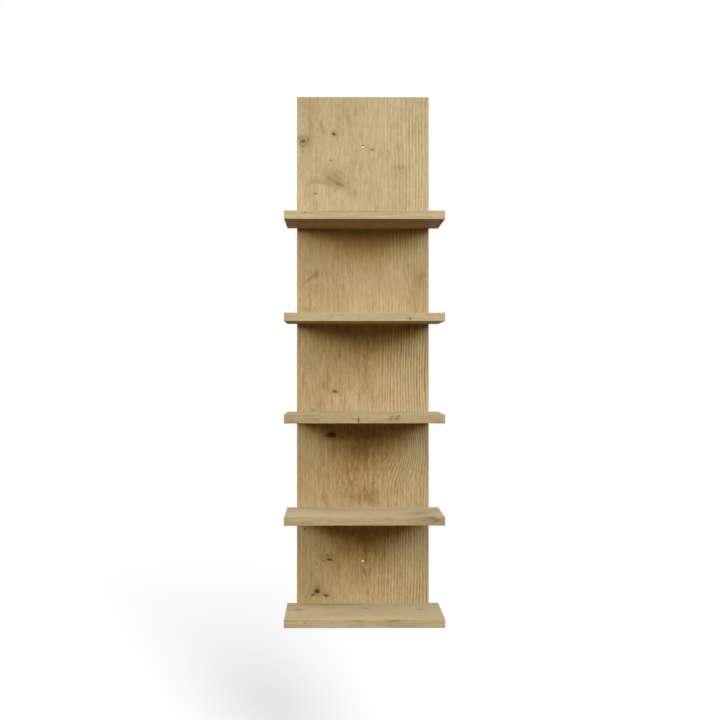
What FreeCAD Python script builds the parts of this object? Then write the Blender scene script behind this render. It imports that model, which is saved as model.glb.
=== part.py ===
import FreeCAD, Part
import os
import Sketcher

# A hanging wall shelf of laminated board: one tall back panel carries five equal shelves on its front.
# Every board is a core with a glued edge band on each of its four edges. Two connector screws, driven
# from behind through the panel, pull each shelf's back edge against its face.
# Sizes are in millimetres. X runs to the right as seen from the front, Y into the wall and Z up. The
# origin is on the panel's back face, midway between the two holes that hang the shelf on the wall.

SIZES = (
    ("shelf_width", 300, "each shelf across, over its edge bands"),
    ("shelf_depth", 200, "each shelf from the panel's face to its front edge"),
    ("shelf_thickness", 16, "shelf board"),
    ("shelf_pitch", 190, "from one shelf to the next"),
    ("top_bay", 246, "panel standing above the top shelf"),
    ("shelf_overhang", 19, "shelf past the panel at each side"),
    ("panel_thickness", 16, "back panel board"),
    ("band_thickness", 1, "edge bands of all boards"),
    ("band_radius", 0.8, "rounding of a band's outer edges"),
    ("wall_hole_diameter", 5, "holes for the wall screws"),
    ("wall_hole_inset", 98, "wall holes from the panel's top and bottom"),
    ("screw_inset", 35, "connector screws from the panel's sides"),
    ("screw_length", 50, "connector screw from head to tip"),
    ("head_diameter", 10, "countersunk head of a connector screw"),
    ("head_cone_angle", 90, "cone under the head and its seat in the panel, in degrees"),
    ("head_recess", 0.3, "head below the panel's back face"),
    ("socket_flats", 4, "hexagon socket across its flats"),
    ("socket_depth", 3.5, "hexagon socket"),
    ("shank_diameter", 6.8, "plain shank of a connector screw"),
    ("shank_clearance", 0.1, "around the shank in the panel"),
    ("shank_end_gap", 1, "shank short of the panel's front face"),
    ("core_diameter", 5, "driven end of a connector screw, and its pilot hole"),
    ("pilot_end_gap", 2, "pilot hole past the screw's tip"),
)

SHELVES = ("bottom", "lower", "middle", "upper", "top")
SCREW_COLUMNS = 2
SAME_PLACE = 1e-6

# Places that several pieces share, as expressions on the sheet's cells. Depths run forward from the wall.
HALF_SHELF = "(size.shelf_width / 2)"
HALF_PANEL = f"({HALF_SHELF} - size.shelf_overhang)"
STACK = f"({len(SHELVES) - 1} * size.shelf_pitch)"
PANEL_TOP = f"((size.shelf_thickness + {STACK} + size.top_bay) / 2)"
LOWEST_SHELF = f"(size.shelf_thickness / 2 - {PANEL_TOP})"
SCREW_SIDE = f"({HALF_PANEL} - size.screw_inset)"
SCREW_TIP = "(size.head_recess + size.screw_length)"
HEAD_SLOPE = "tan(size.head_cone_angle / 2)"

doc = FreeCAD.newDocument("hanging_wall_shelf")
sheet = doc.addObject("Spreadsheet::Sheet", "size")
for row, (alias, number, meaning) in enumerate(SIZES, 1):
    sheet.set(f"A{row}", alias)
    sheet.set(f"B{row}", str(number))
    sheet.set(f"C{row}", meaning)
    sheet.setAlias(f"B{row}", alias)
doc.recompute()


def value(expression):
    """The number that an expression on the sheet's cells gives."""
    return float(sheet.evalExpression(expression))


def origin_part(body, role):
    return next(item for item in body.Origin.OriginFeatures if item.Role == role)


def new_sketch(body, name, plane):
    sketch = body.newObject("Sketcher::SketchObject", f"{body.Name}_{name}")
    sketch.AttachmentSupport = [(origin_part(body, plane), "")]
    sketch.MapMode = "FlatFace"
    return sketch


def hold(sketch, expression, kind, *elements):
    """Adds a constraint whose value follows an expression."""
    rule = Sketcher.Constraint(kind, *elements, value(expression))
    sketch.setExpression(f"Constraints[{sketch.addConstraint(rule)}]", expression)


def hold_point(sketch, geometry, point, place):
    """Holds a point of a line or circle at a place, given from the sketch's origin by two expressions."""
    across, up = place
    hold(sketch, across, "DistanceX", -1, 1, geometry, point)
    hold(sketch, up, "DistanceY", -1, 1, geometry, point)


def draw_outline(sketch, corners):
    """Closes an outline through corners, each a pair of expressions."""
    points = [FreeCAD.Vector(value(across), value(up), 0) for across, up in corners]
    for start, end in zip(points, points[1:] + points[:1]):
        sketch.addGeometry(Part.LineSegment(start, end))
    for line in range(len(corners)):
        sketch.addConstraint(Sketcher.Constraint("Coincident", line, 2, (line + 1) % len(corners), 1))
    for line, corner in enumerate(corners):
        hold_point(sketch, line, 1, corner)


def draw_circles(sketch, centres, diameter):
    for place in centres:
        across, up = place
        centre = FreeCAD.Vector(value(across), value(up), 0)
        circle = sketch.addGeometry(Part.Circle(centre, FreeCAD.Vector(0, 0, 1), value(diameter) / 2))
        hold_point(sketch, circle, 3, place)
        hold(sketch, diameter, "Diameter", circle)


def new_board(name, plane, side_type, thickness, left, right, low, high):
    """A rectangular board or band, drawn on one of its body's planes and padded to its thickness."""
    body = doc.addObject("PartDesign::Body", name)
    outline = new_sketch(body, "outline", plane)
    draw_outline(outline, ((left, low), (right, low), (right, high), (left, high)))
    pad = body.newObject("PartDesign::Pad", f"{name}_pad")
    pad.Profile = outline
    pad.SideType = side_type
    pad.setExpression("Length", thickness)
    doc.recompute()
    return body


def round_edges(body, axis, level, directions):
    """Rounds the edges on the plane where axis is at level, if they run along one of the directions."""
    base = body.Tip
    names = []
    for number, edge in enumerate(base.Shape.Edges, 1):
        start, end = (vertex.Point for vertex in edge.Vertexes)
        on_plane = all(abs(getattr(point, axis) - value(level)) < SAME_PLACE for point in (start, end))
        runs_along = any(abs(getattr(end - start, name)) > SAME_PLACE for name in directions)
        if on_plane and runs_along:
            names.append(f"Edge{number}")
    rounding = body.newObject("PartDesign::Fillet", f"{body.Name}_rounding")
    rounding.Base = (base, names)
    rounding.setExpression("Radius", "size.band_radius")
    doc.recompute()


def require_cut(body, feature, volume_before):
    if body.Shape.Volume >= volume_before:
        raise RuntimeError(f"{feature.Name} cuts nothing")


def drill(body, name, centres, diameter, depth=None):
    """Drills towards the front from the body's back plane, right through where no depth is given."""
    volume_before = body.Shape.Volume
    places = new_sketch(body, f"{name}_places", "XZ_Plane")
    draw_circles(places, centres, diameter)
    doc.recompute()
    hole = body.newObject("PartDesign::Hole", f"{body.Name}_{name}")
    hole.Profile = places
    hole.Reversed = True
    hole.DrillPoint = "Flat"
    hole.setExpression("Diameter", diameter)
    hole.DepthType = "Dimension" if depth else "ThroughAll"
    if depth:
        hole.setExpression("Depth", depth)
    doc.recompute()
    require_cut(body, hole, volume_before)
    return hole


def repeat_at_shelves(body, hole=None):
    """Repeats a screw's hole, or the whole screw, at both sides of the panel and at every shelf."""
    pattern = body.newObject("PartDesign::LinearPattern", f"{body.Name}_at_shelves")
    if hole:
        pattern.Originals = [hole]
    else:
        pattern.TransformMode = "Whole shape"
    pattern.Direction = (origin_part(body, "X_Axis"), [""])
    pattern.Occurrences = SCREW_COLUMNS
    pattern.setExpression("Length", f"2 * {SCREW_SIDE}")
    pattern.Direction2 = (origin_part(body, "Z_Axis"), [""])
    pattern.Occurrences2 = len(SHELVES)
    pattern.setExpression("Length2", STACK)
    body.Tip = pattern
    doc.recompute()


def build_panel():
    """The back panel hangs flat on the wall. The bands on its long edges run its full height, over the
    ends of the top and bottom bands."""
    inner_side = f"({HALF_PANEL} - size.band_thickness)"
    inner_top = f"({PANEL_TOP} - size.band_thickness)"

    def strip(name, left, right, low, high):
        return new_board(name, "XZ_Plane", "One side", "size.panel_thickness", left, right, low, high)

    panel = strip("back_panel", f"-{inner_side}", inner_side, f"-{inner_top}", inner_top)
    wall_hole_up = f"({PANEL_TOP} - size.wall_hole_inset)"
    wall_holes = (("0", wall_hole_up), ("0", f"-{wall_hole_up}"))
    drill(panel, "wall_holes", wall_holes, "size.wall_hole_diameter")

    # The countersink is the cone under the screw's head, carried on to the panel's back face.
    lowest_left = ((f"-{SCREW_SIDE}", LOWEST_SHELF),)
    screw_hole = drill(panel, "screw_hole", lowest_left, "size.shank_diameter + 2 * size.shank_clearance")
    screw_hole.HoleCutType = "Countersink"
    screw_hole.HoleCutCustomValues = True
    mouth = f"size.head_diameter + 2 * size.head_recess * {HEAD_SLOPE}"
    screw_hole.setExpression("HoleCutDiameter", mouth)
    screw_hole.setExpression("HoleCutCountersinkAngle", "size.head_cone_angle")
    doc.recompute()
    repeat_at_shelves(panel, screw_hole)

    left = strip("back_panel_band_left", f"-{HALF_PANEL}", f"-{inner_side}", f"-{PANEL_TOP}", PANEL_TOP)
    round_edges(left, "x", f"-{HALF_PANEL}", "yz")
    right = strip("back_panel_band_right", inner_side, HALF_PANEL, f"-{PANEL_TOP}", PANEL_TOP)
    round_edges(right, "x", HALF_PANEL, "yz")
    top = strip("back_panel_band_top", f"-{inner_side}", inner_side, inner_top, PANEL_TOP)
    round_edges(top, "z", PANEL_TOP, "x")
    bottom = strip("back_panel_band_bottom", f"-{inner_side}", inner_side, f"-{PANEL_TOP}", f"-{inner_top}")
    round_edges(bottom, "z", f"-{PANEL_TOP}", "x")


def build_shelf(name, level):
    """A shelf stands out from the panel's face, which its back edge meets at Y = 0 of its own body. The
    bands on its front and back edges run its full width, over the ends of the side bands."""
    inner_side = f"({HALF_SHELF} - size.band_thickness)"
    front = "(-size.shelf_depth)"
    inner_front = f"({front} + size.band_thickness)"
    inner_back = "(-size.band_thickness)"
    screws = ((f"-{SCREW_SIDE}", "0"), (SCREW_SIDE, "0"))

    def strip(piece, left, right, low, high):
        body = new_board(piece, "XY_Plane", "Symmetric", "size.shelf_thickness", left, right, low, high)
        body.setExpression("Placement.Base.y", "-size.panel_thickness")
        body.setExpression("Placement.Base.z", f"{LOWEST_SHELF} + {level} * size.shelf_pitch")
        return body

    board = strip(name, f"-{inner_side}", inner_side, inner_front, inner_back)
    pilot_depth = f"{SCREW_TIP} + size.pilot_end_gap - size.panel_thickness"
    drill(board, "pilot_holes", screws, "size.core_diameter", pilot_depth)

    back_band = strip(f"{name}_band_back", f"-{HALF_SHELF}", HALF_SHELF, inner_back, "0")
    round_edges(back_band, "y", "0", "xz")
    drill(back_band, "pilot_holes", screws, "size.core_diameter")
    front_band = strip(f"{name}_band_front", f"-{HALF_SHELF}", HALF_SHELF, front, inner_front)
    round_edges(front_band, "y", front, "xz")
    left_band = strip(f"{name}_band_left", f"-{HALF_SHELF}", f"-{inner_side}", inner_front, inner_back)
    round_edges(left_band, "x", f"-{HALF_SHELF}", "y")
    right_band = strip(f"{name}_band_right", inner_side, HALF_SHELF, inner_front, inner_back)
    round_edges(right_band, "x", HALF_SHELF, "y")


def build_screws():
    """Connector screws: a countersunk head with a hexagon socket, a plain shank in the panel's hole, and
    a driven end, taken at its core, in the shelf. The lowest left one is turned and then repeated."""
    cone_end = f"size.head_recess + (size.head_diameter - size.shank_diameter) / 2 / {HEAD_SLOPE}"
    shank_end = "size.panel_thickness - size.shank_end_gap"
    half_profile = (
        ("size.head_recess", "0"),
        ("size.head_recess", "size.head_diameter / 2"),
        (cone_end, "size.shank_diameter / 2"),
        (shank_end, "size.shank_diameter / 2"),
        (shank_end, "size.core_diameter / 2"),
        (SCREW_TIP, "size.core_diameter / 2"),
        (SCREW_TIP, "0"),
    )
    body = doc.addObject("PartDesign::Body", "connector_screws")
    profile = new_sketch(body, "profile", "YZ_Plane")
    profile.setExpression("AttachmentOffset.Base.y", LOWEST_SHELF)
    profile.setExpression("AttachmentOffset.Base.z", f"-{SCREW_SIDE}")
    draw_outline(profile, [(f"-({depth})", radius) for depth, radius in half_profile])
    turned = body.newObject("PartDesign::Revolution", "connector_screws_turned")
    turned.Profile = profile
    turned.ReferenceAxis = (profile, ["H_Axis"])
    turned.Angle = 360
    doc.recompute()

    volume_before = body.Shape.Volume
    hexagon = new_sketch(body, "hexagon", "XZ_Plane")
    hexagon.setExpression("AttachmentOffset.Base.x", f"-{SCREW_SIDE}")
    hexagon.setExpression("AttachmentOffset.Base.y", LOWEST_SHELF)
    hexagon.setExpression("AttachmentOffset.Base.z", "size.head_recess")
    flat = "(size.socket_flats / 2)"
    point = "(size.socket_flats / sqrt(3))"
    upper_corners = ((point, "0"), (f"{point} / 2", flat), (f"-{point} / 2", flat))
    lower_corners = ((f"-{point}", "0"), (f"-{point} / 2", f"-{flat}"), (f"{point} / 2", f"-{flat}"))
    draw_outline(hexagon, upper_corners + lower_corners)
    socket = body.newObject("PartDesign::Pocket", "connector_screws_socket")
    socket.Profile = hexagon
    socket.Reversed = True
    socket.setExpression("Length", "size.socket_depth")
    doc.recompute()
    require_cut(body, socket, volume_before)
    repeat_at_shelves(body)
    return body


def write_parts(expected_solids):
    """Writes every body to its own file, once the whole document is sound."""
    doc.recompute()
    failed = [item.Name for item in doc.Objects if {"Invalid", "Error"} & set(item.State)]
    if failed:
        raise RuntimeError(f"failed: {failed}")
    bodies = [item for item in doc.Objects if item.TypeId == "PartDesign::Body"]
    for body in bodies:
        solids = expected_solids.get(body.Label, 1)
        if body.Shape.isNull() or not body.Shape.isValid() or len(body.Shape.Solids) != solids:
            raise RuntimeError(f"{body.Label} is not sound")
    os.makedirs("parts", exist_ok=True)
    for body in bodies:
        body.Shape.exportStep(f"parts/{body.Label}.step")


build_panel()
for level, place in enumerate(SHELVES):
    build_shelf(f"shelf_{place}", level)
screws = build_screws()
write_parts({screws.Label: SCREW_COLUMNS * len(SHELVES)})
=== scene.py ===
import math

import bpy
from mathutils import Matrix, Vector


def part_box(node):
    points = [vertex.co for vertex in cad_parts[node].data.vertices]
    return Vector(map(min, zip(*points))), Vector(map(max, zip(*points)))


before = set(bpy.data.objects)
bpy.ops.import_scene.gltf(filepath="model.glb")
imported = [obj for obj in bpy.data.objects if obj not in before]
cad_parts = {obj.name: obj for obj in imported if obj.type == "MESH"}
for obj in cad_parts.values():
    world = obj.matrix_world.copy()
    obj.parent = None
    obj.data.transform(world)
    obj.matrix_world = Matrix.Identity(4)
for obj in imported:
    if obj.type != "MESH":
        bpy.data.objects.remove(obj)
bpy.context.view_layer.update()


# Back panel: one upright 16 mm chipboard board, faced front and back with oak decor paper
# whose grain runs from top to bottom. Its edges and drilled holes are raw chipboard, and the
# shelves are screwed on through the countersunk holes in its back.
class Shade:
    """One socket of a finish. Sums of sockets become Math nodes."""

    def __init__(self, tree, socket=None):
        self.tree = tree
        self.socket = socket

    def node(self, kind, settings, inputs, output=0):
        """Adds a node: its settings first, then the values or links of its sockets."""
        made = self.tree.nodes.new("ShaderNode" + kind)
        for name, setting in settings.items():
            if name == "stops":
                stops = made.color_ramp.elements
                while len(stops) < len(setting):
                    stops.new(1.0)
                for stop, (position, colour) in zip(stops, setting):
                    stop.position = position
                    stop.color = (*colour, 1.0)
            else:
                setattr(made, name, setting)
        for name, value in inputs.items():
            if isinstance(value, Shade):
                self.tree.links.new(value.socket, made.inputs[name])
            else:
                made.inputs[name].default_value = value
        return Shade(self.tree, made.outputs[output])

    def math(self, operation, *others):
        """A Math node on this socket and others."""
        values = dict(enumerate((self, *others)))
        return self.node("Math", {"operation": operation}, values)

    def __add__(self, other):
        return self.math("ADD", other)

    __radd__ = __add__

    def __sub__(self, other):
        return self.math("SUBTRACT", other)

    def __rsub__(self, other):
        return self.node("Math", {"operation": "SUBTRACT"}, {0: other, 1: self})

    def __mul__(self, other):
        return self.math("MULTIPLY", other)

    __rmul__ = __mul__

    def __truediv__(self, other):
        return self.math("DIVIDE", other)

    def __rtruediv__(self, other):
        return self.node("Math", {"operation": "DIVIDE"}, {0: other, 1: self})


MM_PER_METRE = 1000.0


def new_finish(name):
    """A bare material, with the place on the piece in millimetres."""
    finish = bpy.data.materials.new(name)
    finish.use_nodes = True
    metres = Shade(finish.node_tree).node("TexCoord", {}, {}, "Object")
    scaled = {0: metres, "Scale": MM_PER_METRE}
    return finish, metres.node("VectorMath", {"operation": "SCALE"}, scaled)


def parts_of(place):
    """The three coordinates of a place."""
    return [place.node("SeparateXYZ", {}, {"Vector": place}, axis) for axis in range(3)]


def placed(x, y, z):
    """A place from its coordinates, the first of them a socket."""
    return x.node("CombineXYZ", {}, {"X": x, "Y": y, "Z": z})


def rise(value, low, high, start=0.0, end=1.0):
    """From start, where the value is low, to end, where it is high, with a soft step between."""
    limits = {"Value": value, "From Min": low, "From Max": high, "To Min": start, "To Max": end}
    return value.node("MapRange", {"interpolation_type": "SMOOTHSTEP"}, limits)


# A Mix node's colour sockets have the same names as its others, so they go by number.
MIX_FIRST, MIX_SECOND, MIX_RESULT = 6, 7, 2


def mixed(factor, first, second, way="MIX"):
    """Two colours mixed by a factor."""
    settings = {"data_type": "RGBA", "blend_type": way, "clamp_factor": True}
    colours = {"Factor": factor, MIX_FIRST: first, MIX_SECOND: second}
    return factor.node("Mix", settings, colours, MIX_RESULT)


def rgb(red, green, blue):
    """A colour with full cover."""
    return (red, green, blue, 1.0)


NOISE_ROUGHNESS = 0.55
MEAN_NOISE = 0.5


def grain_noise(place, width, length, layer, detail=2.0):
    """Noise about zero, with marks so wide across the grain and so long along it."""
    stretch = {"Vector": place, "Location": (0, 0, layer), "Scale": (1 / width, 1 / length, 1)}
    stretched = place.node("Mapping", {"vector_type": "POINT"}, stretch)
    noise = {"Vector": stretched, "Scale": 1.0, "Detail": detail, "Roughness": NOISE_ROUGHNESS}
    return place.node("TexNoise", {}, noise) - MEAN_NOISE


def marks_near(place, marks):
    """Each mark, with how far a place is from its middle, squared, where its rim is 1."""
    turned = {}
    for mark in marks:
        across, along, width, length, turn = mark[:5]
        angle = math.radians(-turn)
        if turn not in turned:
            turned[turn] = place.node(
                "VectorRotate", {"rotation_type": "Z_AXIS"}, {"Vector": place, "Angle": angle}
            )
        middle = Vector((across, along)) @ Matrix.Rotation(-angle, 2)
        scale = (2 / width, 2 / length, 0)
        shift = (-2 * middle.x / width, -2 * middle.y / length, 0)
        offset = place.node(
            "VectorMath", {"operation": "MULTIPLY_ADD"}, {0: turned[turn], 1: scale, 2: shift}
        )
        yield mark, offset.node(
            "VectorMath", {"operation": "DOT_PRODUCT"}, {0: offset, 1: offset}, "Value"
        )


def fading(away, speed):
    """1 in the middle of a mark, and less and less outwards."""
    return away.node("Math", {"operation": "POWER"}, {0: math.exp(-speed), 1: away})


SOFT_FALL = 1.4


def soft_marks(place, marks):
    """The sum of soft marks, each as strong as its last value."""
    total = 0.0
    for mark, away in marks_near(place, marks):
        total = fading(away, SOFT_FALL).math("MULTIPLY_ADD", mark[5], total)
    return total


KNOT_NOISE = {"Scale": 0.3, "Detail": 3.0}
KNOT_RAGGED = (6.0, 5.0, 0.0)
KNOT_RIM = 1.5
KNOT_FALL = 0.22
KNOT_PUSH = 0.45


def knot_marks(place, knots):
    """Dark cores and brown surrounds of knots, and how far the grain bends round them."""
    blur = place.node("TexNoise", {}, {"Vector": place, **KNOT_NOISE}, "Color")
    mean = (MEAN_NOISE, MEAN_NOISE, MEAN_NOISE)
    centred = place.node("VectorMath", {"operation": "SUBTRACT"}, {0: blur, 1: mean})
    ragged = place.node(
        "VectorMath", {"operation": "MULTIPLY_ADD"}, {0: centred, 1: KNOT_RAGGED, 2: place}
    )
    core = halo = push = 0.0
    for mark, away in marks_near(ragged, knots):
        width, dark, brown = mark[2], mark[5], mark[6]
        fall = fading(away, KNOT_FALL)
        core = core + rise(away, 0.0, KNOT_RIM, dark, 0.0)
        halo = fall.math("MULTIPLY_ADD", brown, halo)
        push = fall.math("MULTIPLY_ADD", KNOT_PUSH * brown * width, push)
    return core, halo, push


# Year lines: layers of noise by width across the grain, length along it and place in the noise,
# how far they move the rings, and where the tree's heart lies under the face.
SWAY, SWAY_MM = (60, 420, 1), 14.0
RIPPLE, RIPPLE_MM = (15, 60, 3), 2.2
HEART_WANDER, WANDER_MM = (110, 300, 5), 40.0
HEART_DEPTH, HEART_LEAN = 60.0, 0.01
STEEP = (0.855, 0.94)
FIRST_RING = 170.0
RING_DRIFT, DRIFT_RINGS = (24, 700, 7), 1.1
LINE_PATCHES, PATCHINESS = (14, 150, 9), 1.3
MEAN_LINE = 0.375


def year_lines(place, side, along, push, calms, close):
    """Year rings about a heart under the face: how steep they stand, how patchy, and the lines."""
    sway = SWAY_MM * grain_noise(place, *SWAY) + RIPPLE_MM * grain_noise(place, *RIPPLE)
    side = side + sway + push
    sunk = HEART_DEPTH + HEART_LEAN * along + WANDER_MM * grain_noise(place, *HEART_WANDER)
    radius = (side * side + sunk * sunk).math("SQRT")
    steep = rise(side / radius, *STEEP)
    ring = (radius - FIRST_RING) * close + DRIFT_RINGS * grain_noise(place, *RING_DRIFT)
    wave = 0.5 - 0.5 * (ring * (2 * math.pi)).math("COSINE")
    patches = 1.0 + PATCHINESS * grain_noise(place, *LINE_PATCHES)
    return steep, patches * (1.0 - soft_marks(place, calms)), wave * wave - MEAN_LINE


OAK_STOPS = (
    (0.0, (0.230, 0.134, 0.050)),
    (0.30, (0.393, 0.250, 0.111)),
    (0.58, (0.547, 0.402, 0.210)),
    (0.80, (0.667, 0.512, 0.289)),
    (1.0, (0.745, 0.590, 0.345)),
)
KNOT_BROWN = rgb(0.290, 0.185, 0.088)
KNOT_CORE = rgb(0.070, 0.036, 0.019)
RUDDY = rgb(1.0, 0.96, 0.89)
# Layers of the print, as for the year lines, some with the noise's detail, and what each does to
# the tone.
CURL, CURL_MM = (12, 45, 23), 5.0
STREAK, STREAK_TONE = (2.6, 38, 13), 0.40
FLAKE, FLAKE_TONE = (3.6, 14, 31, 1.0), 0.30
SPECK, SPECK_TONE = (2.0, 4.5, 33, 1.0), 0.16
FINE, FINE_TONE = (0.7, 16, 11, 3.0), 0.22
PORE, PORE_TONE = (0.45, 7.0, 19, 1.0), 0.14
CLOUD, CLOUD_TONE = (60, 230, 17), 0.34
PORE_OPEN = (0.13, 0.20)
THREAD_LAYER = 15
SMEAR_STREAKS = 3.0
WARM_CLOUD, WARM_SHARE = (45, 180, 21), 0.6
WARM_EDGE = (-0.05, 0.22)
FINE_RELIEF, PORE_RELIEF = 0.5, 0.6


def oak_decor(
    place,
    knots,
    tone,
    thread,
    ruddy=0.0,
    lines=0.0,
    heart=0.0,
    close=0.18,
    lively=1.0,
    smears_and_painted_light=(),
    swings=(),
    calms=(),
):
    """Printed oak on (across, along, sheet): colour, how open the pores are, and relief."""
    across, along, sheet = parts_of(place)
    core, halo, push = knot_marks(place, knots)
    push = push + soft_marks(place, swings)
    curled = placed(across + CURL_MM * grain_noise(place, *CURL) + push, along, sheet)
    streak = grain_noise(curled, *STREAK)
    flake = grain_noise(curled, *FLAKE)
    speck = grain_noise(curled, *SPECK)
    fine = grain_noise(place, *FINE)
    pores = rise(grain_noise(place, *PORE), *PORE_OPEN)
    thread_width, thread_length, thread_tone = thread
    marked = STREAK_TONE * streak + FLAKE_TONE * flake + SPECK_TONE * speck
    marked = marked + thread_tone * grain_noise(place, thread_width, thread_length, THREAD_LAYER)
    shown = tone + lively * marked + CLOUD_TONE * grain_noise(place, *CLOUD)
    shown = shown + FINE_TONE * fine - PORE_TONE * pores
    if lines:
        steep, patchy, line = year_lines(place, across - heart, along, push, calms, close)
        shown = shown + lines * steep * patchy * line
    if smears_and_painted_light:
        shown = shown - soft_marks(place, smears_and_painted_light) * (1.0 + SMEAR_STREAKS * streak)
    wood = shown.node("ValToRGB", {"stops": OAK_STOPS}, {"Fac": shown})
    warm = WARM_SHARE * rise(grain_noise(place, *WARM_CLOUD), *WARM_EDGE) + ruddy
    wood = mixed(warm, wood, RUDDY, "MULTIPLY")
    if knots:
        wood = mixed(halo, wood, KNOT_BROWN)
        wood = mixed(core, wood, KNOT_CORE)
    return wood, pores, FINE_RELIEF * fine - PORE_RELIEF * pores


CHIP_SCALE = 0.55
# Raw chipboard painted much darker than it is: painted shade for the inside of the drilled holes.
SHADED_CHIP_STOPS = (
    (0.0, (0.10, 0.065, 0.032)),
    (0.45, (0.19, 0.130, 0.065)),
    (1.0, (0.32, 0.240, 0.140)),
)


def chipboard(place):
    """Raw core: pressed chips, some pale and some dark, with open gaps between them, all darkened
    as painted shade.
    """
    chips = place.node("TexVoronoi", {}, {"Vector": place, "Scale": CHIP_SCALE}, "Color")
    shown = place.node("SeparateXYZ", {}, {"Vector": chips}, 0)
    return shown.node("ValToRGB", {"stops": SHADED_CHIP_STOPS}, {"Fac": shown}), shown


RELIEF_HEIGHT = 0.0002


def finish_with(finish, colour, roughness, height, grip, sheen):
    """Joins colour, roughness and relief to a finish."""
    relief = {"Strength": grip, "Distance": RELIEF_HEIGHT, "Height": height}
    bump = height.node("Bump", {}, relief)
    shader = finish.node_tree.nodes["Principled BSDF"]
    wanted = {"Base Color": colour, "Roughness": roughness, "Normal": bump}
    for name, value in wanted.items():
        finish.node_tree.links.new(value.socket, shader.inputs[name])
    shader.inputs["Specular IOR Level"].default_value = sheen


CHIP_ROUGHNESS = 0.92
PAPER_SMOOTHER = 0.34
PORE_ROUGHER, GRAIN_ROUGHER = 0.10, 0.10
BOARD_GRIP, BOARD_SHEEN = 0.22, 0.01
# How far the paper lies from the board's middle, in mm.
PAPER_FROM, PAPER_TO = 7.9, 7.99
MIDDLE_STEP = 0.1


def past_middle(depth):
    """0 on one side of a board's middle layer and 1 on the other."""
    return rise(depth, -MIDDLE_STEP, MIDDLE_STEP)


def board_finish(finish, place, decor, depth):
    """Decor on the faces, far enough from the middle, and raw chipboard in holes and on edges."""
    wood, pores, relief = decor
    chips, gaps = chipboard(place)
    face = rise(depth.math("ABSOLUTE"), PAPER_FROM, PAPER_TO)
    printed = PORE_ROUGHER * pores + GRAIN_ROUGHER * relief - PAPER_SMOOTHER
    height = face * relief + (1.0 - face) * gaps
    colour = mixed(face, chips, wood)
    roughness = CHIP_ROUGHNESS + face * printed
    finish_with(finish, colour, roughness, height, BOARD_GRIP, BOARD_SHEEN)


def lay(finish, *names):
    """Puts a finish on the named pieces."""
    for name in names:
        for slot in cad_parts[name].material_slots:
            slot.material = finish


# Across, along, width, length, turn, dark core, brown surround.
PANEL_KNOTS = (
    (-119, 423, 12, 9, 0, 0.72, 0.50),
    (-127, 429, 5, 5, 0, 0.38, 0.05),
    (-122, 433, 5, 5, 0, 0.42, 0.05),
    (-109, 427, 5, 9, 0, 0.36, 0.12),
    (-114, 432, 4, 5, 0, 0.34, 0.0),
    (-119, 413, 8, 5, 0, 0.44, 0.12),
    (-113, 417, 4, 5, 0, 0.34, 0.0),
    (-120, 402, 5, 4, 0, 0.40, 0.05),
    (-125, 417, 4, 5, 0, 0.34, 0.0),
    (-58, 437, 9, 7, -10, 0.85, 0.30),
    (-64, 385, 5, 4, 0, 0.55, 0.10),
    (-45, 465, 4, 3, 0, 0.30, 0.0),
    (18, 406, 9, 4, -20, 0.60, 0.15),
    (-94, 318, 7, 4, 0, 0.60, 0.10),
    (-57, 324, 8, 4, -10, 0.25, 0.10),
    (-57, 342, 44, 7, -27, 0.12, 0.22),
    (-47, 337, 18, 8, -10, 0.16, 0.25),
    (-50, 356, 34, 22, -35, 0.0, 0.20),
    (-84, 340, 24, 6, -8, 0.10, 0.15),
    (76, 371, 16, 5, 0, 0.20, 0.15),
    (-100, 152, 14, 6, 45, 0.10, 0.12),
    (116, 152, 7, 22, -15, 0.12, 0.42),
    (-55, -75, 11, 6, -10, 0.70, 0.35),
    (93, 1, 5, 3, -20, 0.50, 0.10),
    (101, -2, 6, 3, -20, 0.50, 0.10),
    (-115, -57, 8, 3, -10, 0.40, 0.10),
    (-62, -161, 20, 13, 0, 0.92, 0.50),
    (-74, -163, 10, 5, 0, 0.45, 0.15),
    (-40, -166, 7, 6, 0, 0.60, 0.30),
    (-22, -285, 4, 10, 0, 0.35, 0.10),
    (-8, -297, 4, 9, 0, 0.30, 0.05),
    (5, -286, 4, 12, 0, 0.35, 0.12),
    (18, -290, 5, 7, 20, 0.30, 0.08),
    (31, -297, 7, 4, 30, 0.30, 0.05),
    (-114, -348, 6, 5, -15, 0.85, 0.20),
    (-66, -409, 13, 6, -15, 0.95, 0.35),
    (-78, -411, 6, 4, 0, 0.45, 0.10),
    (-70, -400, 6, 4, 0, 0.35, 0.10),
    (-91, -472, 12, 10, 20, 0.92, 0.50),
    (-99, -479, 8, 5, 20, 0.75, 0.20),
    (-72, -480, 13, 6, -12, 0.75, 0.40),
    (-89, -460, 14, 14, 0, 0.0, 0.28),
)
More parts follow.
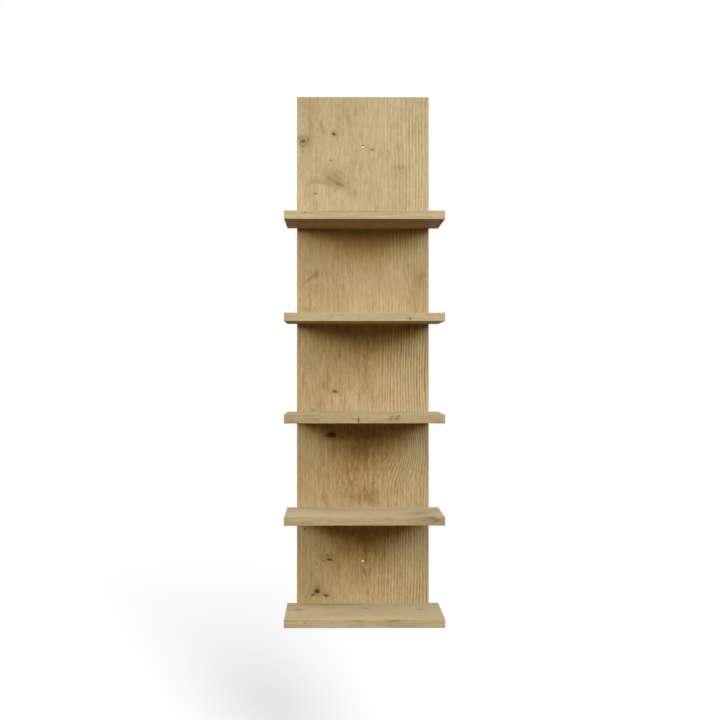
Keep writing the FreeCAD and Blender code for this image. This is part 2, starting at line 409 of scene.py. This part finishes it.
# Across, along, width, length, turn and strength of brown smears in the print, or of paler
# patches where the strength is below 0; the first two paler ones are painted light.
PANEL_SMEARS_AND_PAINTED_LIGHT = (
    # Painted light: a paler strip down the panel's left side and a paler patch at the upper left
    # of the fourth bay, where light from the left reaches in.
    (-128, -60, 60, 640, 0, -0.10),
    (-114, -172, 56, 80, 0, -0.10),
    (32, 405, 90, 320, 0, -0.075),
    (-95, 405, 70, 300, 0, 0.04),
    (-20, 113, 200, 60, 0, 0.04),
    (-32, -85, 60, 60, 0, -0.06),
    (31, -85, 60, 60, 0, 0.06),
    (-30, -168, 50, 40, 0, -0.08),
    (-32, -219, 60, 60, 0, -0.06),
    (-94, -219, 60, 60, 0, 0.04),
    (0, -276, 130, 60, 0, 0.09),
    (94, -276, 60, 60, 0, -0.05),
    (0, -417, 220, 60, 0, 0.04),
    (-94, -473, 60, 60, 0, -0.06),
    (94, -473, 60, 60, 0, 0.06),
    (-60, -182, 4, 34, -12, 0.18),
    (-53, -187, 4, 40, -18, 0.16),
    (-68, -190, 4, 40, 4, 0.14),
    (-57, 353, 50, 34, -35, 0.16),
    (-68, 352, 48, 4, -30, 0.14),
    (-50, 353, 40, 4, -33, 0.12),
    (-44, 361, 34, 4, -38, 0.12),
    (-62, 334, 40, 4, -20, 0.12),
    (-84, 345, 40, 12, -20, 0.12),
    (-114, 315, 5, 50, -5, 0.16),
    (-105, 339, 24, 5, 30, 0.16),
    (-82, 452, 10, 34, 20, 0.16),
    (-31, 468, 5, 34, 15, 0.22),
    (-24, 462, 4, 26, 15, 0.16),
    (-9, 488, 24, 36, 0, 0.10),
    (-15, 477, 9, 12, 0, 0.12),
    (-16, 379, 7, 10, 0, 0.16),
    (-14, 322, 10, 22, -15, 0.16),
    (-26, 319, 10, 8, 0, 0.12),
    (-103, 490, 40, 44, 0, 0.14),
    (-100, 450, 26, 60, 10, 0.08),
    (-112, 415, 34, 46, 0, 0.10),
    (-110, 146, 44, 5, 40, 0.22),
    (-93, 157, 14, 20, 0, 0.16),
    (-112, 88, 34, 12, 0, 0.16),
    (-105, 118, 5, 50, 0, 0.10),
    (92, 172, 12, 24, 0, 0.10),
    (30, 92, 12, 26, 0, 0.10),
    (8, 5, 6, 40, 0, 0.16),
    (4, -36, 6, 30, -10, 0.20),
    (0, -66, 6, 28, -15, 0.16),
    (-7, -88, 6, 28, -10, 0.14),
    (-9, -20, 6, 50, 0, 0.12),
    (-47, 2, 8, 20, 0, 0.16),
    (-71, -37, 6, 28, 0, 0.12),
    (-78, -62, 20, 28, -10, 0.14),
    (-83, -101, 18, 32, 0, 0.20),
    (-98, -112, 10, 7, 0, 0.25),
    (44, -83, 6, 20, 0, 0.12),
    (9, -198, 130, 90, 0, 0.20),
    (-58, -190, 14, 60, -5, 0.16),
    (-30, -238, 9, 56, 10, 0.20),
    (-22, -258, 8, 16, 0, 0.24),
    (10, -284, 66, 44, 0, 0.24),
    (4, -262, 5, 40, 0, 0.20),
    (21, -258, 5, 26, 0, 0.14),
    (-77, -285, 14, 28, 10, 0.18),
    (-37, -283, 5, 22, 0, 0.14),
    (-36, -390, 20, 26, 10, 0.20),
    (5, -392, 9, 40, 0, 0.24),
    (28, -388, 40, 22, -30, 0.12),
    (-74, -400, 40, 7, 5, 0.14),
    (2, -432, 6, 26, 25, 0.24),
    (16, -430, 5, 12, 0, 0.18),
    (-46, -421, 6, 28, -20, 0.14),
    (10, -476, 5, 16, 0, 0.24),
)
# The same, with how far branches under the face push the grain aside.
PANEL_SWINGS = (
    (60, -190, 120, 110, 0, -22),
    (-95, 445, 70, 110, 0, 12),
    (0, -420, 50, 90, 0, 10),
    (-20, -60, 70, 130, 0, -8),
)
# The same, with how much more the grain stands out.
PANEL_LIVELY = (
    (12, -228, 140, 120, 0, 0.9),
    (0, -400, 110, 130, 0, 0.4),
    (15, 0, 110, 150, 0, 0.4),
)
# The same, with how far the year lines fade in calm patches.
PANEL_CALMS = (
    (85, 130, 150, 150, 0, 0.95),
    (100, -272, 110, 84, 0, 0.95),
    (90, -430, 130, 160, 0, 0.25),
    (80, 512, 140, 70, 0, 0.55),
    (124, 350, 16, 400, 0, 0.60),
    (122, -425, 22, 150, 0, 0.60),
)
# The same, with how much redder the print is, or less red where that is below 0; the last four
# strips are painted shade.
PANEL_RUDDY_AND_SHADE = (
    (5, -215, 150, 120, 0, 0.9),
    (0, -400, 110, 130, 0, 0.6),
    (20, 10, 90, 150, 0, 0.5),
    (0, 400, 500, 420, 0, -0.35),
    # Painted shade: a redder strip just below each shelf but the lowest, where the half shade
    # under it falls.
    (0, 232, 340, 70, 0, 1.0),
    (0, 42, 340, 70, 0, 0.8),
    (0, -148, 340, 70, 0, 0.8),
    (0, -338, 340, 70, 0, 0.8),
)
PANEL_TONE = 0.595
PANEL_HEART = -80.0
# Width and length of dark threads in the print, and their strength.
PANEL_THREADS = (6.0, 120.0, 0.30)
# A lower and an upper height, and the values there: how lively the grain is, how strong and how
# close together the year lines are, and how far the colour is darkened, more towards the bottom.
LIVELY_UPWARDS = (-60.0, 260.0, 1.4, 1.05)
LINES_UPWARDS = (60.0, 300.0, 0.41, 0.26)
CLOSE_UPWARDS = (-20.0, 330.0, 0.186, 0.160)
DARKENING_UPWARDS = (-300.0, 330.0, 1.0, 0.0)
DARKENING = rgb(0.935, 0.940, 0.915)
# The back shows the print the other way round, from another length of the paper.
BACK_SHIFT = 700.0
panel_low, panel_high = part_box("back_panel")
panel_middle = 0.5 * MM_PER_METRE * (panel_low.y + panel_high.y)
finish, place = new_finish("panel_oak")
x, y, z = parts_of(place)
depth = y - panel_middle
behind = past_middle(depth)
print_place = placed(x * (1.0 - 2.0 * behind), z + BACK_SHIFT * behind, 0.0)
wood, pores, relief = oak_decor(
    print_place,
    PANEL_KNOTS,
    PANEL_TONE,
    PANEL_THREADS,
    ruddy=soft_marks(print_place, PANEL_RUDDY_AND_SHADE),
    lines=rise(z, *LINES_UPWARDS),
    heart=PANEL_HEART,
    close=rise(z, *CLOSE_UPWARDS),
    lively=rise(z, *LIVELY_UPWARDS) + soft_marks(print_place, PANEL_LIVELY),
    smears_and_painted_light=PANEL_SMEARS_AND_PAINTED_LIGHT,
    swings=PANEL_SWINGS,
    calms=PANEL_CALMS,
)
# The colour is made a little darker and greyer towards the bottom.
darkened = mixed(rise(z, *DARKENING_UPWARDS), wood, DARKENING, "MULTIPLY")
board_finish(finish, place, (darkened, pores, relief), depth)
lay(finish, "back_panel")

# Panel edge bands: 1 mm printed plastic strips glued round the panel's four edges, with the
# grain along each strip. The two long ones run past the short ones, and their outer edges are
# rounded over, with a painted highlight: the print is a little paler along the rounded edges.
SIDEWAYS, DEEP, UPRIGHT = range(3)
BAND_TONE = 0.60
BAND_THREADS = (3.0, 90.0, 0.55)
BAND_SHEET = 40.0
EDGE_HIGHLIGHT_OAK = rgb(0.60, 0.45, 0.25)
EDGE_HIGHLIGHT_SHARE = 0.2
# How far the painted highlight lies from the board's middle, in mm.
EDGE_HIGHLIGHT_FROM, EDGE_HIGHLIGHT_TO = 7.1, 7.9
BAND_ROUGHNESS = 0.54
BAND_PORE_ROUGHER, BAND_GRAIN_ROUGHER = 0.08, 0.06
BAND_GRIP, BAND_SHEEN = 0.15, 0.03


def band_finish(name, direction, thickness, middle, knots=(), tone=BAND_TONE, ruddy=0.0):
    """A strip printed along one axis, with a painted highlight at both corners of the board's
    thickness.
    """
    finish, place = new_finish(name)
    spots = parts_of(place)
    from_middle = (spots[thickness] - middle).math("ABSOLUTE")
    along = spots.pop(direction)
    print_place = placed(spots[0] + spots[1], along, BAND_SHEET)
    wood, pores, relief = oak_decor(print_place, knots, tone, BAND_THREADS, ruddy)
    # Painted highlight: the print turns paler along the rounded edges.
    edge_highlight = EDGE_HIGHLIGHT_SHARE * rise(from_middle, EDGE_HIGHLIGHT_FROM, EDGE_HIGHLIGHT_TO)
    colour = mixed(edge_highlight, wood, EDGE_HIGHLIGHT_OAK)
    roughness = BAND_ROUGHNESS + BAND_PORE_ROUGHER * pores + BAND_GRAIN_ROUGHER * relief
    finish_with(finish, colour, roughness, relief, BAND_GRIP, BAND_SHEEN)
    return finish


lay(
    band_finish("panel_band_upright", UPRIGHT, DEEP, panel_middle),
    "back_panel_band_left",
    "back_panel_band_right",
)
lay(
    band_finish("panel_band_level", SIDEWAYS, DEEP, panel_middle),
    "back_panel_band_top",
    "back_panel_band_bottom",
)

# Shelves: five equal 16 mm chipboard boards with oak decor on both faces, the grain from side
# to side, each held against the panel by two screws from behind. Their four 1 mm edge bands are
# glued on, the front and back ones in full width and the side ones between them.
SHELF_NAMES = ("bottom", "lower", "middle", "upper", "top")
# Knots on the faces: across, along and so on, as on the panel.
SHELF_KNOTS = {
    "bottom": (
        (-101, -126, 14, 20, 0, 0.40, 0.25),
        (-89, 4, 12, 14, 0, 0.40, 0.20),
        (-101, 110, 12, 18, 0, 0.25, 0.18),
        (-36, -44, 12, 84, -3, 0.32, 0.38),
        (-150, 60, 20, 30, 0, 0.0, 0.12),
    ),
    "lower": (
        (-140, 108, 60, 22, 25, 0.16, 0.42),
        (-205, 128, 18, 16, 20, 0.40, 0.30),
        (-70, 130, 12, 30, 0, 0.05, 0.20),
        (-120, -70, 8, 16, 0, 0.30, 0.15),
    ),
    "middle": (
        (-120, 52, 30, 20, 30, 0.20, 0.30),
        (-60, -80, 8, 14, 0, 0.60, 0.20),
        (-160, -30, 7, 10, 0, 0.35, 0.15),
    ),
    "upper": (
        (-150, 84, 8, 10, 0, 0.60, 0.25),
        (-70, -20, 9, 18, 0, 0.45, 0.20),
        (-110, -110, 7, 12, 0, 0.30, 0.15),
    ),
    "top": (
        (-90, -100, 9, 12, 0, 0.65, 0.25),
        (-140, 40, 10, 16, 0, 0.40, 0.20),
        (-55, 105, 7, 10, 0, 0.30, 0.12),
    ),
}
# Knots on the front bands: height above the shelf's underside, along, and so on.
FRONT_KNOTS = {
    "bottom": (
        (10, -111, 3, 4, 0, 0.50, 0.10),
        (13, 54, 7, 26, -4, 0.15, 0.25),
        (13, -12, 5, 22, 0, 0.12, 0.18),
    ),
    "lower": (
        (14, 124, 5, 22, 12, 0.45, 0.35),
        (9, 135, 4, 15, -25, 0.40, 0.30),
        (5, -115, 3, 4, 0, 0.60, 0.10),
        (12, 112, 10, 16, 0, 0.05, 0.22),
    ),
    "middle": (
        (6, -11, 12, 3, 0, 0.75, 0.20),
        (12, 62, 16, 4, 40, 0.50, 0.20),
        (11, 50, 14, 5, 35, 0.25, 0.20),
    ),
    "upper": ((5, 85, 5, 5, 0, 0.80, 0.25), (11, 60, 4, 40, 3, 0.0, 0.12)),
    "top": ((12, -111, 3, 4, 0, 0.55, 0.10), (15, 24, 4, 90, 0, 0.05, 0.30)),
}
SHELF_TONE = {"bottom": 0.79, "lower": 0.84, "middle": 0.775, "upper": 0.72, "top": 0.72}
FRONT_TONE = {"bottom": 0.725, "lower": 0.57, "middle": 0.525, "upper": 0.67, "top": 0.685}
FRONT_RUDDY = {"bottom": 0.95, "lower": 0.8, "middle": 0.8, "upper": 0.1, "top": 0.1}
SHELF_RUDDY = 0.9
SHELF_LINES = 0.16
SHELF_HEART = -240.0
SHELF_THREADS = (7.0, 160.0, 0.40)
# The underside shows another length of the paper, painted a little browner and darker as shade,
# and each shelf another sheet.
UNDER_SHIFT = 900.0
UNDERSIDE_SHADE = rgb(0.80, 0.73, 0.62)
FIRST_SHEET, SHEET_STEP = 60.0, 3.7
for number, name in enumerate(SHELF_NAMES):
    low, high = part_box("shelf_" + name)
    middle = 0.5 * MM_PER_METRE * (low.z + high.z)
    finish, place = new_finish(f"shelf_{name}_oak")
    x, y, z = parts_of(place)
    depth = middle - z
    under = past_middle(depth)
    print_place = placed(y, x + UNDER_SHIFT * under, SHEET_STEP * number + FIRST_SHEET)
    wood, pores, relief = oak_decor(
        print_place,
        SHELF_KNOTS[name],
        SHELF_TONE[name],
        SHELF_THREADS,
        ruddy=SHELF_RUDDY,
        lines=SHELF_LINES,
        heart=SHELF_HEART,
    )
    # Painted shade: the print on the underside is made browner and darker.
    shaded_underside = mixed(under, wood, UNDERSIDE_SHADE, "MULTIPLY")
    board_finish(finish, place, (shaded_underside, pores, relief), depth)
    lay(finish, "shelf_" + name)
    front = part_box(f"shelf_{name}_band_front")[0]
    on_band = MM_PER_METRE * (front.y + front.z)
    knots = [(on_band + mark[0], *mark[1:]) for mark in FRONT_KNOTS[name]]
    shades = (FRONT_TONE[name], FRONT_RUDDY[name])
    level_band = band_finish(f"shelf_{name}_band", SIDEWAYS, UPRIGHT, middle, knots, *shades)
    lay(level_band, f"shelf_{name}_band_front", f"shelf_{name}_band_back")
    side_band = band_finish(f"shelf_{name}_band_side", DEEP, UPRIGHT, middle, (), *shades)
    lay(side_band, f"shelf_{name}_band_left", f"shelf_{name}_band_right")

# Connector screws: ten bright zinc-plated steel screws with countersunk heads and hexagon
# sockets, driven from behind. The heads show fine turning marks and a bluish passivation.
ZINC_STOPS = ((0.3, (0.34, 0.36, 0.39)), (0.7, (0.47, 0.47, 0.44)))
ZINC_CLOUDS = {"Scale": 0.4, "Detail": 4.0}
TURNING_MARKS = {"Scale": 6.0, "Detail": 2.0}
ZINC_ROUGHNESS, CLOUDS_ROUGHER = 0.24, 0.22
ZINC_GRIP, ZINC_SHEEN = 0.05, 0.5
finish, place = new_finish("screw_zinc")
cloudy = place.node("TexNoise", {}, {"Vector": place, **ZINC_CLOUDS})
tint = cloudy.node("ValToRGB", {"stops": ZINC_STOPS}, {"Fac": cloudy})
turned = place.node("TexNoise", {}, {"Vector": place, **TURNING_MARKS})
roughness = ZINC_ROUGHNESS + CLOUDS_ROUGHER * cloudy
finish_with(finish, tint, roughness, turned, ZINC_GRIP, ZINC_SHEEN)
finish.node_tree.nodes["Principled BSDF"].inputs["Metallic"].default_value = 1.0
lay(finish, "connector_screws")

# Floor: a plain pale studio floor half a metre below the hanging shelf, white to the eye and seen
# from above only. It keeps the shelf's soft shadow, which fades with distance into the white.
WHITE = rgb(1, 1, 1)
FLOOR_HEIGHT = -1.0
FLOOR_RADIUS = 9.0
FLOOR_CORNERS = 96
FLOOR_GREY = 0.90
# What a full shadow takes from the floor, and the distance in mm at which it starts to fade.
SHADOW_SHARE = 0.43
SHADOW_FADES = 1050.0
# The floor sends almost no light back to the shelf.
FLOOR_BOUNCE = rgb(0.006, 0.006, 0.006)
bpy.ops.mesh.primitive_circle_add(
    vertices=FLOOR_CORNERS, radius=FLOOR_RADIUS, fill_type="NGON", location=(0, 0, FLOOR_HEIGHT)
)
floor = bpy.context.object
floor.name = "floor"
finish, place = new_finish("floor_white")
tree = finish.node_tree
tree.nodes.remove(tree.nodes["Principled BSDF"])


def seen_directly(start):
    """1 for what the eye, a mirror or glass sees, and 0 for light that bounces."""
    eye, mirror, glass = [
        start.node("LightPath", {}, {}, f"Is {way} Ray")
        for way in ("Camera", "Glossy", "Transmission")
    ]
    return eye.math("MAXIMUM", mirror).math("MAXIMUM", glass)


glow = place.node("Emission", {}, {"Color": WHITE, "Strength": 1.0 - SHADOW_SHARE})
matt = place.node("BsdfDiffuse", {}, {"Color": rgb(FLOOR_GREY, FLOOR_GREY, FLOOR_GREY)})
lit = place.node("AddShader", {}, {0: glow, 1: matt})
white = place.node("Emission", {}, {"Color": WHITE, "Strength": 1.0})
distance = place.node("VectorMath", {"operation": "LENGTH"}, {0: place}, "Value")
faded = 1.0 - SHADOW_FADES / distance
pale = place.node("MixShader", {}, {"Fac": faded, 1: lit, 2: white})
dim = place.node("BsdfDiffuse", {}, {"Color": FLOOR_BOUNCE})
whole = place.node("MixShader", {}, {"Fac": seen_directly(place), 1: dim, 2: pale})
clear = place.node("BsdfTransparent", {}, {})
from_below = place.node("NewGeometry", {}, {}, "Backfacing")
one_sided = place.node("MixShader", {}, {"Fac": from_below, 1: whole, 2: clear})
tree.links.new(one_sided.socket, tree.nodes["Material Output"].inputs["Surface"])
floor.data.materials.append(finish)

# Background: a plain white room, bright to the eye, to mirrors and to glass, and almost dark as a
# light, so that the lamps alone light the shelf.
ROOM_LIGHT = 0.002
world = bpy.data.worlds.new("white_room")
bpy.context.scene.world = world
world.use_nodes = True
strength = ROOM_LIGHT + (1.0 - ROOM_LIGHT) * seen_directly(Shade(world.node_tree))
background = world.node_tree.nodes["Background"]
background.inputs["Color"].default_value = WHITE
world.node_tree.links.new(strength.socket, background.inputs["Strength"])

# Lamps: two cool soft boxes high at both sides, two small warm ones lower and nearer the front,
# and two behind that light the back as plainly. None of them lights the floor. Each has its angle
# from the front and above level in degrees, its size, its power and its tint.
LAMPS = (
    ("lamp_left", -55, 30, 2.2, 71.0, (0.80, 1.0, 1.33)),
    ("lamp_left_low", -40, 12, 1.0, 59.0, (1.13, 1.0, 0.74)),
    ("lamp_right", 55, 30, 2.2, 114.0, (0.80, 1.0, 1.31)),
    ("lamp_right_low", 40, 12, 1.0, 36.0, (1.17, 1.0, 0.66)),
    ("lamp_back_left", -140, 8, 2.4, 95.0, (1.0, 1.0, 1.0)),
    ("lamp_back_right", 140, 8, 2.4, 75.0, (1.0, 1.0, 1.0)),
)
LAMP_DISTANCE = 4.2
LAMP_AIM = Vector((0, -0.1, 0))
all_but_floor = bpy.data.collections.new("all_but_floor")
all_but_floor.objects.link(floor)
all_but_floor.collection_objects[0].light_linking.link_state = "EXCLUDE"


def direction_to(azimuth, elevation):
    """The way from the shelf to a lamp, by its angles from the front and above level."""
    turn, lift = math.radians(azimuth), math.radians(elevation)
    level = math.cos(lift)
    return Vector((math.sin(turn) * level, -math.cos(turn) * level, math.sin(lift)))


def hang(lamp, place, outward, lit_pieces):
    """Hangs a lamp at a place, facing against the outward direction, unseen by the camera."""
    holder = bpy.data.objects.new(lamp.name, lamp)
    holder.location = place
    holder.rotation_euler = (-outward).to_track_quat("-Z", "Y").to_euler()
    holder.visible_camera = False
    bpy.context.scene.collection.objects.link(holder)
    holder.light_linking.receiver_collection = lit_pieces


def soft_lamp(name, size, power, tint):
    """A round or oval soft lamp."""
    lamp = bpy.data.lights.new(name, "AREA")
    lamp.shape = "ELLIPSE"
    lamp.size, lamp.size_y = size
    lamp.energy = power
    lamp.color = tint
    return lamp


for name, azimuth, elevation, size, power, tint in LAMPS:
    outward = direction_to(azimuth, elevation)
    lamp = soft_lamp(name, (size, size), power, tint)
    hang(lamp, LAMP_AIM + LAMP_DISTANCE * outward, outward, all_but_floor)

# Lamp below: a small soft one hung under the lowest shelf and facing up, no wider than the shelf,
# so that it lights this shelf's dark underside alone.
BELOW_HEIGHT = -0.69
BELOW_SIZE = (0.26, 0.17)
BELOW_POWER = 0.12
low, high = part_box("shelf_bottom")
under_shelf = Vector((0, 0.5 * (low.y + high.y), BELOW_HEIGHT))
lamp = soft_lamp("lamp_below", BELOW_SIZE, BELOW_POWER, (1.0, 1.0, 1.0))
hang(lamp, under_shelf, Vector((0, 0, -1)), all_but_floor)

# Floor lamp: a broad far light from the front, a little right, that lights the floor alone. It
# casts the shelf's soft shadow back and to the left, and has no part in how the shelf looks.
FLOOR_LAMP_TURN, FLOOR_LAMP_LIFT = 9.5, 19.0
FLOOR_LAMP_SPREAD = 13.0
floor_only = bpy.data.collections.new("floor_only")
floor_only.objects.link(floor)
outward = direction_to(FLOOR_LAMP_TURN, FLOOR_LAMP_LIFT)
lamp = bpy.data.lights.new("lamp_floor", "SUN")
lamp.angle = math.radians(FLOOR_LAMP_SPREAD)
# Bright enough to make up, on a level floor, what its glow lacks of full white.
lamp.energy = SHADOW_SHARE * math.pi / FLOOR_GREY / outward.z
hang(lamp, LAMP_DISTANCE * outward, outward, floor_only)

# Camera: a long lens straight in front of the shelf, almost level and at about its middle height,
# a hair to the left and turned back to the middle.
CAMERA_TILT, CAMERA_TURN = 90.188, -0.806
camera = bpy.data.objects.new("camera", bpy.data.cameras.new("camera"))
bpy.context.scene.collection.objects.link(camera)
camera.data.lens = 76.64
camera.location = (-0.0486, -3.0639, -0.0224)
camera.rotation_euler = (math.radians(CAMERA_TILT), 0, math.radians(CAMERA_TURN))
bpy.context.scene.camera = camera
bpy.context.scene.view_settings.view_transform = "Standard"
